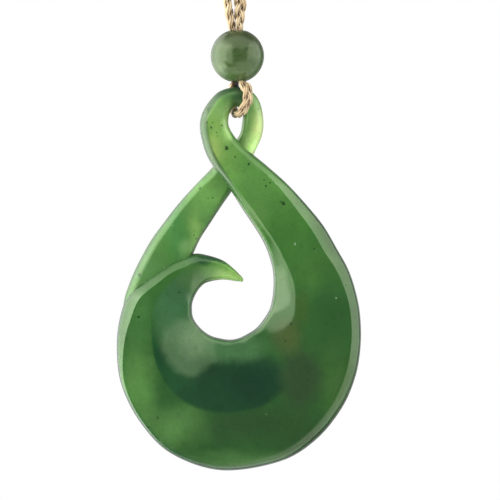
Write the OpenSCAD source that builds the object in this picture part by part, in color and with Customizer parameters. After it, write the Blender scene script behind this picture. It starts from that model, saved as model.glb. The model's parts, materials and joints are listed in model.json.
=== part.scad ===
// Jade twist pendant on a plaited cord, with a round jade bead above it.
// Millimetres, +Z up, +X to the viewer's right, the front faces -Y.
// The origin is the inside of the cord loop's top, where the necklace hangs.

/* [Pendant] */
// Height of the carved pendant, from the top of its eye to its foot
pendant_h = 57.5; // [50:0.1:64]
// Sections drawn between two rows of the carving's tables
carving_steps = 2; // [2:4]
// Half of the points around one section of the carving
section_half = 10; // [8:12]

/* [Bead] */
// Diameter of the round bead
bead_d = 8; // [7.6:0.1:8.2]
// Diameter of the hole that both legs of the cord pass through
bead_bore_d = 2.9; // [2.9:0.05:3.2]
// Width of the bevel around each mouth of that hole
bead_bevel = 0.15; // [0.1:0.05:0.3]

/* [Cord] */
// Diameter of the plaited cord, taken as round
cord_d = 1.3; // [1.1:0.05:1.3]
// Flat sides around the cord
cord_sides = 8; // [8:12]
// Half of the width of the loop at its top
loop_half_w = 18; // [16:20]

/* [Knot] */
// Outer diameter of the binding that joins the cord's two ends
knot_d = 4; // [3.6:0.1:4.4]
// Length of that binding
knot_l = 10; // [8:12]
// Clearance around the cord inside the binding
knot_clearance = 0.15; // [0.1:0.05:0.3]

/* [Hidden] */

// Heights, measured down from the origin
bead_z = -232;
// The pendant turns about the middle of its eye's top bar, this far under the bead's middle
hinge_drop = 6.15;
hinge_z = bead_z - hinge_drop;

jade_green = [0.24, 0.52, 0.20];
bead_green = [0.30, 0.45, 0.26];
cord_cream = [0.87, 0.76, 0.56];
knot_tan = [0.78, 0.64, 0.44];

// The carving is one strand. It starts at the hook's tip, swells into the crescent, crosses over
// itself as the front strand and turns through the eye.
// Each row is one section. Outer is the edge on the silhouette, inner the edge on the round hole.
// Depth is the middle of the thickness. The crown is the share of the width, from the outer edge,
// where the section is thickest. Outer and inner edge are the widths of its rounded edges, and the
// rim is how thick it still is at the inner edge, as a share of the crown.
// Columns: outer x, outer z, inner x, inner z, depth, half thickness, crown, outer edge,
// inner edge, rim
front_rows = [
    [  0.6, -26.9,  0.5, -27.7, -0.4, 0.45,   0.4, 0.35, 0.35,    1],
    [ -0.5, -25.8, -0.4, -27.6, -0.4, 0.75,  0.33,  0.6,  0.6,  0.8],
    [ -2.2, -24.5, -2.3, -27.4, -0.4, 1.25,  0.28,  0.8,  0.7,  0.6],
    [ -4.6, -23.7, -4.5, -27.8, -0.3,  1.9,  0.27,  1.1,  0.7,  0.5],
    [ -6.4, -23.5, -5.5, -28.5, -0.3, 2.35,  0.28,  1.3,  0.6,  0.5],
    [ -8.7, -24.2, -6.2, -29.5, -0.3, 2.75,   0.3,  1.5,  0.5,  0.5],
    [-10.9, -25.5, -6.6, -30.4, -0.2, 3.05,  0.34,  1.6,  0.5,  0.5],
    [-13.6, -27.4, -6.8, -31.2, -0.2, 3.25,  0.38,  1.7,  0.5,  0.5],
    [-16.3, -29.8, -6.8,   -32, -0.1,  3.4,  0.42,  1.9,  0.5,  0.5],
    [-17.6,   -33, -6.7, -32.9,    0,  3.6,  0.45,  1.9,  0.5,  0.5],
    [-18.1, -37.5, -6.2, -33.9,    0,  3.8,  0.44,  1.3,  0.5,  0.5],
    [-17.4, -43.2, -5.2,   -35,    0, 3.95,  0.43,    1,  0.5,  0.5],
    [-14.5, -48.9,   -4, -35.8,    0,    4,  0.41,    1,  0.5,  0.5],
    [ -9.9, -53.5, -2.6, -36.2,    0,    4,  0.42,  1.1,  0.5,  0.5],
    [ -2.4,   -56, -1.2, -36.4,    0,    4,  0.44,  1.3,  0.5,  0.5],
    [  6.3, -54.7,  0.1, -36.2,    0,    4,  0.44,  1.7,  0.5,  0.5],
    [ 11.7, -51.5,  1.4, -35.6,    0, 3.95,  0.46,  2.2,  0.5,  0.5],
    [ 15.6, -46.8,  2.8, -34.7,    0,  3.9,  0.51,  2.4,  0.5,  0.5],
    [ 17.7,   -42,  3.9, -33.4,    0,  3.8,   0.6,  2.5,  0.5,  0.5],
    [ 18.5, -37.2,  4.8, -31.9,    0,  3.7,   0.7,  2.6,  0.5,  0.5],
    [ 18.4, -32.6,  5.2, -30.4,    0,  3.6, 0.735,  2.7,  0.5,  0.5],
    [ 17.7,   -29,  5.4, -28.6, -0.1, 3.45, 0.735,  2.8,  0.5, 0.55],
    [ 16.6, -25.8,  5.4, -26.9, -0.2, 3.25,  0.76,    3,  0.5,  0.6],
    [   15, -22.9,  5.1,   -25, -0.4, 3.05,  0.79,    3,  0.5, 0.65],
    [12.95, -19.4,  4.2, -22.4, -0.7,  2.8,  0.82,  2.7,  0.5,  0.7],
    [10.45, -16.3,  2.8, -19.9,   -1, 2.55,  0.84,  2.1,  0.5, 0.75],
    [  7.5, -13.1,  0.8, -16.9, -1.4,  2.3,  0.82,  1.5,  0.6,  0.8],
    [  4.6, -10.5, -0.9, -14.2, -1.6, 2.15,  0.78,  1.1,  0.7, 0.85],
    [  2.3,  -8.6, -2.4, -12.1, -1.6,    2,   0.7,  1.1,  0.8,  0.9],
    [  0.6,  -7.1, -3.8, -10.2, -1.5, 1.95,   0.6,  1.3,  0.9, 0.95],
    [ -0.6,  -5.7, -4.9,    -8, -1.3,  1.9,  0.55,  1.6,  1.1,    1],
    [ -1.3,  -4.3, -5.6,    -5,   -1,  1.8,   0.5,  1.8,  1.2,    1],
    [ -1.3,    -3, -5.4,  -2.8, -0.7,  1.7,   0.5,  1.9,  1.4,    1],
    [   -1,  -2.1, -4.4,  -0.9, -0.4,  1.6,   0.5,  1.8,  1.8,    1],
    [ -0.7,  -1.6, -2.9,   0.7, -0.2,  1.5,   0.5,  1.6,  1.6,    1],
    [ -0.3, -1.45,   -1,   1.4,    0,  1.4,   0.5, 1.45, 1.45,    1],
    [  0.1,  -1.5,  0.6,   1.4,  0.1,  1.4,   0.5, 1.45, 1.45,    1],
];

// The same strand goes on from the eye's top, down the eye's right side, behind the crossing and
// along the left arm, and ends inside the crescent's lobe.
// Columns: as above. Outer is now the edge on the eye's opening, then the left silhouette.
back_rows = [
    [   0.5,   -1.9,   2.3,   0.7, 0.2, 1.45, 0.5,  1.6,  1.6, 1],
    [   0.8,   -2.6,   3.4,  -0.9, 0.5, 1.45, 0.5,  1.5,  1.5, 1],
    [   0.7,   -3.9,   3.9,  -3.4, 0.9,  1.5, 0.5,  1.4,  1.3, 1],
    [   0.4,   -5.4,  3.75,  -5.5, 1.2,  1.6, 0.5,  1.3,  1.2, 1],
    [  -0.4,   -6.7,  3.05,  -7.3, 1.5,  1.7, 0.5,  1.2,  1.1, 1],
    [  -2.1,   -8.7,   1.5, -10.4, 1.6, 1.85, 0.5,  1.1,    1, 1],
    [ -4.15, -10.95,  -0.7, -13.9, 1.6, 1.95, 0.5,    1,  0.9, 1],
    [ -6.75, -13.65,  -2.3, -16.2, 1.4, 2.05, 0.5,  0.9,  0.7, 1],
    [  -9.1,  -16.3,  -4.2, -19.1, 1.1,  2.2, 0.5,  0.9,  0.6, 1],
    [ -11.1,  -18.9,  -5.6, -21.3, 0.9, 2.35, 0.5,  0.9,  0.6, 1],
    [-12.85,  -21.3, -6.65, -23.6, 0.7,  2.5, 0.5,  0.9,  0.6, 1],
    [-14.45,  -24.1,  -7.6,   -26, 0.6,  2.5, 0.5,  0.9,  0.6, 1],
    [ -15.8,  -26.9,  -8.9, -28.4, 0.5,  2.4, 0.5,  0.9,  0.7, 1],
    [   -17,  -30.4, -10.9, -31.4, 0.4,  2.1, 0.5,  0.9,  0.8, 1],
    [ -17.2,  -33.4, -12.4, -33.8, 0.2,  1.7, 0.5,  0.8,  0.8, 1],
];

// How far the face drops from the crown to the outer edge, as a share of the crown
face_bow = 0.08;
// How the face falls from the crown to the rim: 1 is straight, more is hollow at first
rim_fall = 1.5;

// The cord's route, from the loop's top down its left leg, through the bead, around the eye's top
// bar and back up. Heights are measured from the middle of that bar.
// Columns: x, y, z
left_leg = [
    [ -1.55, 0.0, 14.6],
    [ -1.05, 0.0, 11.2],
    [ -0.74, 0.0,  9.6],
    [ -0.68, 0.1,  8.2],
    [ -0.57, 0.40, 5.6],
    [ -0.45, 0.55, 3.6],
];
bight = [
    [ -0.42,  0.58,  2.80],
    [ -0.47,  0.72,  2.25],
    [ -0.60,  1.35,  1.70],
    [ -0.70,  1.95,  1.25],
    [ -0.80,  2.40,  0.35],
    [ -0.75,  2.45, -0.70],
    [ -0.65,  2.00, -1.70],
    [ -0.42,  1.10, -2.38],
    [ -0.20,  0.10, -2.60],
    [  0.08, -0.95, -2.65],
    [  0.48, -1.95, -2.42],
    [  1.02, -2.62, -1.75],
    [  1.46, -2.80, -0.80],
    [  1.60, -2.80,  0.15],
    [  1.40, -2.45,  1.00],
    [  0.95, -2.00,  1.40],
    [  0.60, -1.35,  1.70],
    [  0.47, -0.72,  2.25],
    [  0.42, -0.58,  2.80],
];
right_leg = [
    [ 0.45, -0.55, 3.6],
    [ 0.57, -0.40, 5.6],
    [ 0.68, -0.10, 8.2],
    [ 0.68, 0.0,  9.6],
    [ 0.52, 0.0, 11.2],
    [ 0.45, 0.0, 14.6],
];

// The top of the loop: two quarter bends with the straight binding between them
bend_end_gap = 1;
bend_end_x = knot_l / 2 + bend_end_gap;
top_bend_r = loop_half_w - bend_end_x;
cord_top_z = knot_d / 2;
bend_steps = 6;
leg_steps = 8;
end_gap = 0.4;

function on_bar(p) = [p[0], p[1], p[2] + hinge_z];
function lerp(a, b, t) = a + (b - a) * t;

left_bend = [
    for (i = [0 : bend_steps])
        let (a = 90 * i / bend_steps)
            [-bend_end_x - top_bend_r * sin(a), 0, cord_top_z - top_bend_r * (1 - cos(a))]
];
left_low = on_bar(left_leg[0]);
right_low = on_bar(right_leg[len(right_leg) - 1]);
left_top = left_bend[bend_steps];
right_top = [-left_top[0], 0, left_top[2]];

cord_route = concat(
    [[-end_gap / 2, 0, cord_top_z], [-knot_l / 4, 0, cord_top_z]],
    left_bend,
    [for (i = [1 : leg_steps - 1]) lerp(left_top, left_low, i / leg_steps)],
    [for (p = left_leg) on_bar(p)],
    [for (p = bight) on_bar(p)],
    [for (p = right_leg) on_bar(p)],
    [for (i = [1 : leg_steps - 1]) lerp(right_low, right_top, i / leg_steps)],
    [for (i = [bend_steps : -1 : 0]) [-left_bend[i][0], 0, left_bend[i][2]]],
    [[knot_l / 4, 0, cord_top_z], [end_gap / 2, 0, cord_top_z]]
);

// A smooth curve through the rows of a table, with the rows themselves on it
function between(a, b, c, d, t) =
    0.5 * (2 * b + (c - a) * t + (2 * a - 5 * b + 4 * c - d) * t * t + (3 * b - a - 3 * c + d) * t * t * t);

function smooth_rows(rows, steps) =
    let (last = len(rows) - 1)
    [
        for (i = [0 : last - 1], k = [0 : steps - 1])
            between(rows[max(i - 1, 0)], rows[i], rows[i + 1], rows[min(i + 2, last)], k / steps),
        rows[last]
    ];

// Height of a rounded edge at a distance from it, from 0 to 1
function rounded(distance, width) = sqrt(1 - pow(1 - min(max(distance / width, 0), 1), 2));

// How thick the section is at a place across it, from -1 at the outer edge over 0 at the crown to
// 1 at the inner edge, as a share of the crown
function thickness(row, across, share, width) =
    let (
        bow = face_bow * across * across,
        fall = (1 - row[9]) * pow(max(across, 0), rim_fall)
    )
    (1 - (across < 0 ? bow : fall))
        * rounded(share * width, row[7])
        * rounded((1 - share) * width, row[8]);

function section(row) =
    let (
        outer = [row[0], row[1]],
        inner = [row[2], row[3]],
        crown = row[6],
        count = section_half * 2
    )
    [
        for (k = [0 : count - 1])
            let (
                across = -cos(360 * k / count),
                share = crown + across * (across < 0 ? crown : 1 - crown),
                side = k <= section_half ? 1 : -1,
                flat = lerp(outer, inner, share),
                half = row[5] * thickness(row, across, share, norm(inner - outer))
            )
            [flat[0], row[4] + side * half, flat[1]]
    ];

// A closed body through a list of sections that all have the same number of points
module loft(sections) {
    around = len(sections[0]);
    last = len(sections) - 1;
    walls = [
        for (i = [0 : last - 1], k = [0 : around - 1])
            let (
                next = (k + 1) % around,
                a = i * around + k,
                b = i * around + next
            )
            each [[a, a + around, b], [b, a + around, b + around]]
    ];
    first_cap = [for (k = [0 : around - 1]) k];
    last_cap = [for (k = [around - 1 : -1 : 0]) last * around + k];
    polyhedron(
        points = [for (s = sections) each s],
        faces = concat(walls, [first_cap], [last_cap]),
        convexity = 8
    );
}

// The strand's sections from one row to another
module strand(rows, first, last) {
    loft([for (i = [first : last]) section(rows[i])]);
}

module pendant() {
    rows = smooth_rows(concat(front_rows, back_rows), carving_steps);
    eye_top = (len(front_rows) - 1) * carving_steps;
    color(jade_green)
        translate([0, 0, hinge_z])
            resize([0, 0, pendant_h], auto = true) {
                strand(rows, 0, eye_top);
                strand(rows, eye_top, len(rows) - 1);
            }
}

module bead() {
    mouth_z = sqrt(pow(bead_d / 2, 2) - pow(bead_bore_d / 2 + bead_bevel, 2));
    color(bead_green)
        translate([0, 0, bead_z])
            difference() {
                sphere(d = bead_d, $fn = 64);
                cylinder(d = bead_bore_d, h = bead_d + 2, center = true, $fn = 48);
                for (side = [0, 1])
                    mirror([0, 0, side])
                        translate([0, 0, mouth_z - bead_bevel])
                            cylinder(r1 = bead_bore_d / 2, r2 = bead_bore_d / 2 + 3 * bead_bevel,
                                     h = 3 * bead_bevel, $fn = 48);
            }
}

// A round tube swept along a route, with each ring square to the route there
module tube(route, d, sides) {
    last = len(route) - 1;
    loft([
        for (i = [0 : last])
            let (
                along = route[min(i + 1, last)] - route[max(i - 1, 0)],
                ahead = along / norm(along),
                side_raw = cross([0, 1, 0], ahead),
                side = norm(side_raw) > 0.2 ? side_raw / norm(side_raw) : [1, 0, 0],
                up = cross(ahead, side)
            )
            [
                for (k = [0 : sides - 1])
                    let (a = 360 * k / sides)
                        route[i] + d / 2 * (cos(a) * side + sin(a) * up)
            ]
    ]);
}

module cord() {
    color(cord_cream)
        tube(cord_route, cord_d, cord_sides);
}

module knot() {
    color(knot_tan)
        translate([0, 0, cord_top_z])
            rotate([0, 90, 0])
                difference() {
                    cylinder(d = knot_d, h = knot_l, center = true, $fn = 48);
                    cylinder(d = cord_d + 2 * knot_clearance, h = knot_l + 2, center = true, $fn = 32);
                }
}

pendant();
bead();
cord();
knot();
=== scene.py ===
"""Looks of a jade twist pendant that hangs on a plaited cord under a round jade bead.

Tables and sizes are millimetres, as in the part's source, and every mesh is made in metres.
Heights in the tables are measured from the middle of the eye's top bar, where the pendant turns.
"""

import json
import math

import bpy
import numpy as np
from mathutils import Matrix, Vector
from mathutils.bvhtree import BVHTree
from mathutils.kdtree import KDTree


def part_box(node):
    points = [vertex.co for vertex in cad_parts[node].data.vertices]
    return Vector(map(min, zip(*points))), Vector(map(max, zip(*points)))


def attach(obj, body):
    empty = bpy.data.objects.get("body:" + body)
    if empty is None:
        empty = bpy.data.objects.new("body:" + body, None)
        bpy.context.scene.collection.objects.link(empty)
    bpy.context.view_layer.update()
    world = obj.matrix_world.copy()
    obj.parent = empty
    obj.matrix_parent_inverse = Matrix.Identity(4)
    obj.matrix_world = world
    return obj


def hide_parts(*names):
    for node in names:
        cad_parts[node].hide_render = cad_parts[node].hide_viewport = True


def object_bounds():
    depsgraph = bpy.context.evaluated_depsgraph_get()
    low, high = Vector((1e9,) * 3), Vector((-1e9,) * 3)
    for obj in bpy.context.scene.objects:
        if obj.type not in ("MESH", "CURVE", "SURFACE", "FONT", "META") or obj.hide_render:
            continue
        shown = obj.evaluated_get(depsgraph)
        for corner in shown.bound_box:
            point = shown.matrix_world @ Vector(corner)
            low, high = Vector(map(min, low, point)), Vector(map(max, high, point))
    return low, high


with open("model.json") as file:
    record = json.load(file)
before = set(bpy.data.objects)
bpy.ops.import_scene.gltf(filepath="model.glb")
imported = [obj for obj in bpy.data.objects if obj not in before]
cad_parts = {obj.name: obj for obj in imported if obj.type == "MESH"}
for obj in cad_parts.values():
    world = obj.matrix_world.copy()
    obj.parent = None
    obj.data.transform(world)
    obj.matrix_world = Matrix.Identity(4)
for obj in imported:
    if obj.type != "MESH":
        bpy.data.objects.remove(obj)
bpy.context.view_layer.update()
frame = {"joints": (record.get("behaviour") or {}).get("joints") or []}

# A millimetre in metres, the middle of the eye's top bar, and the two bodies
MM = 0.001
HINGE = np.array(frame["joints"][0]["pos_m"]) / MM
NECKLACE = "necklace"
PENDANT = "pendant"

# Each row is one section of the strand, between its outer and its inner edge. The crown is the
# share of its width where it is thickest. Outer and inner edge are the widths of the rounded
# edges, and the rim is how thick it still is at the inner edge, as a share of the crown.
# The bevel is 1 where the outer edge is bevelled and 0 where it is round. The fall is 1 where the
# face slopes evenly from the crown to the rim, and more where it slopes late.
# Columns: outer x, outer z, inner x, inner z, depth, half thickness, crown, outer edge,
# inner edge, rim, bevel, fall
FRONT_ROWS = [
    [0.6, -26.9, 0.5, -27.7, -0.4, 0.45, 0.4, 0.35, 0.35, 1.0, 0.0, 1.5],
    [-0.5, -25.8, -0.4, -27.6, -0.4, 0.75, 0.33, 0.6, 0.6, 0.8, 0.0, 1.5],
    [-2.2, -24.5, -2.3, -27.4, -0.4, 1.25, 0.28, 0.8, 0.7, 0.6, 0.2, 1.5],
    [-4.6, -23.7, -4.5, -27.8, -0.3, 1.9, 0.27, 1.1, 0.7, 0.55, 0.4, 1.5],
    [-6.4, -23.5, -5.5, -28.5, -0.3, 2.35, 0.28, 1.3, 0.6, 0.56, 0.6, 1.4],
    [-8.7, -24.2, -6.2, -29.5, -0.3, 2.75, 0.3, 1.5, 0.5, 0.6, 0.8, 1.3],
    [-10.9, -25.5, -6.6, -30.4, -0.2, 3.05, 0.34, 1.3, 0.5, 0.62, 1.0, 1.3],
    [-13.6, -27.4, -6.8, -31.2, -0.2, 3.25, 0.38, 1.55, 0.5, 0.63, 1.0, 1.3],
    [-16.3, -29.8, -6.8, -32.0, -0.1, 3.4, 0.42, 1.75, 0.5, 0.63, 1.0, 1.3],
    [-17.6, -33.0, -6.7, -32.9, 0.0, 3.6, 0.45, 1.75, 0.5, 0.61, 1.0, 1.3],
    [-18.1, -37.5, -6.2, -33.9, 0.0, 3.8, 0.44, 1.2, 0.5, 0.59, 1.0, 1.3],
    [-17.4, -43.2, -5.2, -35.0, 0.0, 3.95, 0.43, 0.65, 0.5, 0.57, 0.8, 1.3],
    [-14.5, -48.9, -4.0, -35.8, 0.0, 4.0, 0.41, 0.5, 0.5, 0.56, 0.5, 1.3],
    [-9.9, -53.5, -2.6, -36.2, 0.0, 4.0, 0.42, 0.55, 0.5, 0.57, 0.2, 1.3],
    [-2.4, -56.0, -1.2, -36.4, 0.0, 4.0, 0.44, 0.9, 0.5, 0.6, 0.2, 1.3],
    [6.3, -54.7, 0.1, -36.2, 0.0, 4.0, 0.44, 1.3, 0.5, 0.64, 0.2, 1.4],
    [11.7, -51.5, 1.4, -35.6, 0.0, 3.95, 0.46, 1.7, 0.5, 0.68, 0.2, 1.6],
    [15.6, -46.8, 2.8, -34.7, 0.0, 3.9, 0.51, 1.8, 0.5, 0.68, 0.3, 1.9],
    [17.7, -42.0, 3.9, -33.4, 0.0, 3.8, 0.6, 1.7, 0.5, 0.65, 0.6, 1.9],
    [18.5, -37.2, 4.8, -31.9, 0.0, 3.7, 0.7, 1.55, 0.5, 0.6, 0.9, 1.5],
    [18.4, -32.6, 5.2, -30.4, 0.0, 3.6, 0.735, 1.5, 0.5, 0.5, 1.0, 1.2],
    [17.7, -29.0, 5.4, -28.6, -0.1, 3.45, 0.735, 1.6, 0.5, 0.55, 1.0, 1.2],
    [16.6, -25.8, 5.4, -26.9, -0.2, 3.25, 0.76, 1.8, 0.5, 0.6, 1.0, 1.2],
    [15.0, -22.9, 5.1, -25.0, -0.4, 3.05, 0.79, 1.95, 0.5, 0.65, 1.0, 1.2],
    [12.95, -19.4, 4.2, -22.4, -0.7, 2.8, 0.82, 1.9, 0.5, 0.7, 1.0, 1.2],
    [10.45, -16.3, 2.8, -19.9, -1.0, 2.55, 0.84, 1.65, 0.5, 0.75, 1.0, 1.2],
    [7.5, -13.1, 0.8, -16.9, -1.4, 2.3, 0.82, 1.3, 0.6, 0.8, 1.0, 1.2],
    [4.6, -10.5, -0.9, -14.2, -1.6, 2.15, 0.78, 1.05, 0.7, 0.85, 0.8, 1.5],
    [2.3, -8.6, -2.4, -12.1, -1.6, 2.0, 0.7, 1.0, 0.8, 0.9, 0.5, 1.5],
    [0.6, -7.1, -3.8, -10.2, -1.5, 1.95, 0.6, 0.95, 0.9, 0.95, 0.3, 1.5],
    [-0.6, -5.7, -4.9, -8.0, -1.3, 1.9, 0.55, 0.95, 1.1, 1.0, 0.0, 1.5],
    [-1.3, -4.3, -5.6, -5.0, -1.0, 1.8, 0.5, 1.0, 1.2, 1.0, 0.0, 1.5],
    [-1.3, -3.0, -5.4, -2.8, -0.7, 1.7, 0.5, 1.1, 1.4, 1.0, 0.0, 1.5],
    [-1.0, -2.1, -4.4, -0.9, -0.4, 1.6, 0.5, 1.4, 1.8, 1.0, 0.0, 1.5],
    [-0.7, -1.6, -2.9, 0.7, -0.2, 1.5, 0.5, 1.6, 1.6, 1.0, 0.0, 1.5],
    [-0.3, -1.45, -1.0, 1.4, 0.0, 1.4, 0.5, 1.45, 1.45, 1.0, 0.0, 1.5],
    [0.1, -1.5, 0.6, 1.4, 0.1, 1.4, 0.5, 1.45, 1.45, 1.0, 0.0, 1.5],
]
# The same strand goes on from the eye's top, down its right side, behind the crossing and along
# the left arm
BACK_ROWS = [
    [0.5, -1.9, 2.3, 0.7, 0.2, 1.45, 0.5, 1.6, 1.6, 1.0, 0.0, 1.5],
    [0.8, -2.6, 3.4, -0.9, 0.5, 1.45, 0.5, 1.2, 1.5, 1.0, 0.0, 1.5],
    [0.7, -3.9, 3.9, -3.4, 0.9, 1.5, 0.5, 0.9, 1.3, 1.0, 0.0, 1.5],
    [0.4, -5.4, 3.75, -5.5, 1.2, 1.6, 0.5, 0.8, 1.2, 1.0, 0.0, 1.5],
    [-0.4, -6.7, 3.05, -7.3, 1.5, 1.7, 0.5, 0.8, 1.1, 1.0, 0.0, 1.5],
    [-2.1, -8.7, 1.5, -10.4, 1.6, 1.85, 0.5, 1.0, 1.0, 1.0, 0.0, 1.5],
    [-4.15, -10.95, -0.7, -13.9, 1.6, 1.95, 0.5, 1.3, 0.9, 1.0, 0.0, 1.5],
    [-6.75, -13.65, -2.3, -16.2, 1.4, 2.05, 0.5, 1.1, 0.7, 1.0, 0.0, 1.5],
    [-9.1, -16.3, -4.2, -19.1, 1.1, 2.2, 0.5, 1.2, 0.6, 1.0, 0.0, 1.5],
    [-11.1, -18.9, -5.6, -21.3, 0.9, 2.35, 0.5, 1.3, 0.6, 1.0, 0.0, 1.5],
    [-12.85, -21.3, -6.65, -23.6, 0.7, 2.5, 0.5, 1.4, 0.6, 1.0, 0.0, 1.5],
    [-14.45, -24.1, -7.6, -26.0, 0.6, 2.5, 0.5, 1.4, 0.6, 1.0, 0.0, 1.5],
    [-15.8, -26.9, -8.9, -28.4, 0.5, 2.4, 0.5, 1.4, 0.7, 1.0, 0.0, 1.5],
    [-17.0, -30.4, -10.9, -31.4, 0.4, 2.1, 0.5, 1.3, 0.8, 1.0, 0.0, 1.5],
    [-17.2, -33.4, -12.4, -33.8, 0.2, 1.7, 0.5, 0.8, 0.8, 1.0, 0.0, 1.5],
]
# Sections from each row of those tables to the next
CARVING_STEPS = 12
# Points across a section: around each edge, from the outer edge to the crown, and from there to
# the inner edge
EDGE_POINTS = 10
FACE_POINTS = 9
SLOPE_POINTS = 14
RING_POINTS = 2 * (2 * EDGE_POINTS + FACE_POINTS + SLOPE_POINTS)
# The most that an edge takes of the width on its side of the crown
EDGE_SHARE = 0.9
# How far the face drops from the crown to the outer edge, as a share of the crown
FACE_BOW = 0.08
# How steeply a bevel falls, and the width of its rounded rim
BEVEL_SLOPE = 0.8
BEVEL_ROUND = 0.45
# The hook's rounded tip: its rings, and how much of the dome they cover
TIP_RINGS = 5
TIP_DOME = 0.93
# The angle, in degrees, from which an edge of the carving stays sharp
SHARP_ANGLE = 32

# The cord's route. Turn is where the plait's width points, in degrees from +X, and bunch is 0
# where the plait lies flat and 1 where it is squeezed narrow.
# Columns: x, y, z, turn, bunch
LEFT_LEG = [
    [-1.55, 0.0, 14.6, 90, 0.0],
    [-0.95, 0.1, 11.2, 88, 0.3],
    [-0.70, 0.2, 9.9, 84, 0.85],
    [-0.62, 0.1, 8.2, 80, 1.0],
    [-0.55, 0.4, 5.6, 55, 1.0],
    [-0.45, 0.55, 3.6, 39, 1.0],
]
BIGHT = [
    [-0.42, 0.58, 2.80, 36, 1.0],
    [-0.42, 0.80, 2.25, 20, 0.6],
    [-0.44, 1.35, 1.70, 10, 0.25],
    [-0.55, 1.95, 1.25, 8, 0.2],
    [-0.80, 2.40, 0.35, 5, 0.3],
    [-0.80, 2.45, -0.70, 5, 0.3],
    [-0.65, 2.00, -1.70, 0, 0.5],
    [-0.42, 1.10, -2.38, 0, 0.6],
    [-0.20, 0.10, -2.60, 0, 0.6],
    [0.08, -0.95, -2.65, 0, 0.6],
    [0.48, -1.95, -2.42, 4, 0.5],
    [1.02, -2.62, -1.75, 9, 0.4],
    [1.46, -2.80, -0.80, 13, 0.35],
    [1.60, -2.80, 0.15, 14, 0.35],
    [1.50, -2.45, 1.00, 18, 0.3],
    [1.24, -2.00, 1.45, 18, 0.3],
    [0.96, -1.35, 1.80, 20, 0.4],
    [0.66, -0.76, 2.30, 30, 0.8],
    [0.38, -0.60, 2.80, 39, 1.0],
]
RIGHT_LEG = [
    [0.45, -0.55, 3.6, 42, 1.0],
    [0.55, -0.40, 5.6, 55, 1.0],
    [0.60, -0.10, 8.2, 50, 1.0],
    [0.34, -0.2, 9.9, 20, 0.85],
    [0.32, -0.1, 11.2, 12, 0.5],
    [0.38, 0.0, 12.8, 10, 0.1],
    [0.45, 0.0, 14.6, 8, 0.0],
]
# The loop's top: half of its width, the straight stretch beside the knot, where the route starts
# inside the knot, and the turn of the plait all along it
LOOP_HALF_W = 18.0
BESIDE_KNOT = 1
IN_KNOT = (0.2, 2.5)
TOP_TURN = 90
# Steps of the route around each bend and down each leg
BEND_STEPS = 6
LEG_STEPS = 8
# Steps of the smooth line between two points, and the least stretch that counts
ROUTE_STEPS = 24
LEAST_STRETCH = 0.05
# The cord's rings lie close together up to this height over the eye's bar, and further apart above
NEAR_BEAD = 25.0
NEAR_SPACING = 0.16
FAR_SPACING = 0.48

# The flat plait: width, thickness and the length of one full weave
PLAIT_W = 1.95
PLAIT_T = 1.3
PLAIT_CYCLE = 5.85
# Its plies: half of the width and of the thickness of each. At the plait's edges they are narrower
# and thicker by these shares.
PLIES = 3
PLY_W = 0.5
PLY_T = 0.4
EDGE_NARROW = 0.15
EDGE_SPREAD = 0.2
# How much narrower the plait and each ply are where it is squeezed
SQUEEZE_W = 0.75
SQUEEZE_PLY = 0.35
# Yarns in a ply and points around each, with the depth of the grooves between the yarns as a share
# of the ply, and how much painted shade darkens the grooves
YARNS = 6
YARN_POINTS = 3
GROOVE = 0.2
GROOVE_PAINTED_SHADE = 0.38
# The painted shadow on the cord between the bead and the eye: where it begins and is full along x,
# y and z, and the height where it ends
PAINTED_SHADOW_FROM = ((-1.1, -0.5), (-1.0, -0.4), (0.8, 1.6))
PAINTED_SHADOW_TOP = 6

# The bead's hole and the rounding of its mouths
BORE_R = 1.15
BORE_RIM = 0.12
# Points of its profile on the ball, around a mouth and down the hole, and how far below a mouth
# those in the hole start
BALL_POINTS = 72
MOUTH_POINTS = 5
BORE_POINTS = 12
BORE_START = 0.4
# Sides of the bead around its hole
BEAD_SIDES = 96

# The knot's thread: radius, steps to a turn and sides
THREAD_R = 0.37
THREAD_STEPS = 28
THREAD_SIDES = 8
# The core under it: how far it lies inside the thread's middle and the knot's ends, its bevel, the
# radius of its small end faces, and its sides
CORE_INSET = 0.1
CORE_SHORT = 0.25
CORE_BEVEL = 0.3
CORE_END_R = 0.3
CORE_SIDES = 24


def between(a, b, c, d, t):
    """A point of the smooth curve from b to c, at t from 0 to 1."""
    return 0.5 * (
        2 * b
        + (c - a) * t
        + (2 * a - 5 * b + 4 * c - d) * t * t
        + (3 * b - a - 3 * c + d) * t**3
    )


def smooth_rows(rows, steps):
    """A table's rows with steps - 1 smooth rows added after each."""
    rows = np.array(rows, float)
    last = len(rows) - 1
    made = []
    for i in range(last):
        near = rows[max(i - 1, 0)], rows[i], rows[i + 1], rows[min(i + 2, last)]
        made += [between(*near, k / steps) for k in range(steps)]
    return np.array(made + [rows[last]])


def rounded(distance, width):
    """Height of a rounded edge at a distance from it, from 0 to 1."""
    return np.sqrt(1 - np.clip(1 - distance / width, 0, 1) ** 2)


def bevelled(distance, width, half):
    """Height of a flat bevel with a tightly rounded rim, from 0 to 1."""
    slope = 1 - BEVEL_SLOPE * np.clip(width - distance, 0, None) / half
    return np.clip(slope, 0, 1) * rounded(distance, min(BEVEL_ROUND, width))


def stations(width, crown_at, outer_edge, inner_edge):
    """Distances from the outer edge at which a section's points lie, denser at both edges."""
    turn = np.linspace(0, math.pi / 2, EDGE_POINTS + 1)
    outer = outer_edge * (1 - np.cos(turn))
    face = np.linspace(outer_edge, crown_at, FACE_POINTS + 1)[1:]
    slope = crown_at + (width - inner_edge - crown_at) * np.linspace(0, 1, SLOPE_POINTS + 1)[1:]
    inner = width - inner_edge * (1 - np.cos(turn[::-1][1:]))
    return np.concatenate([outer, face, slope, inner])


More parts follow.
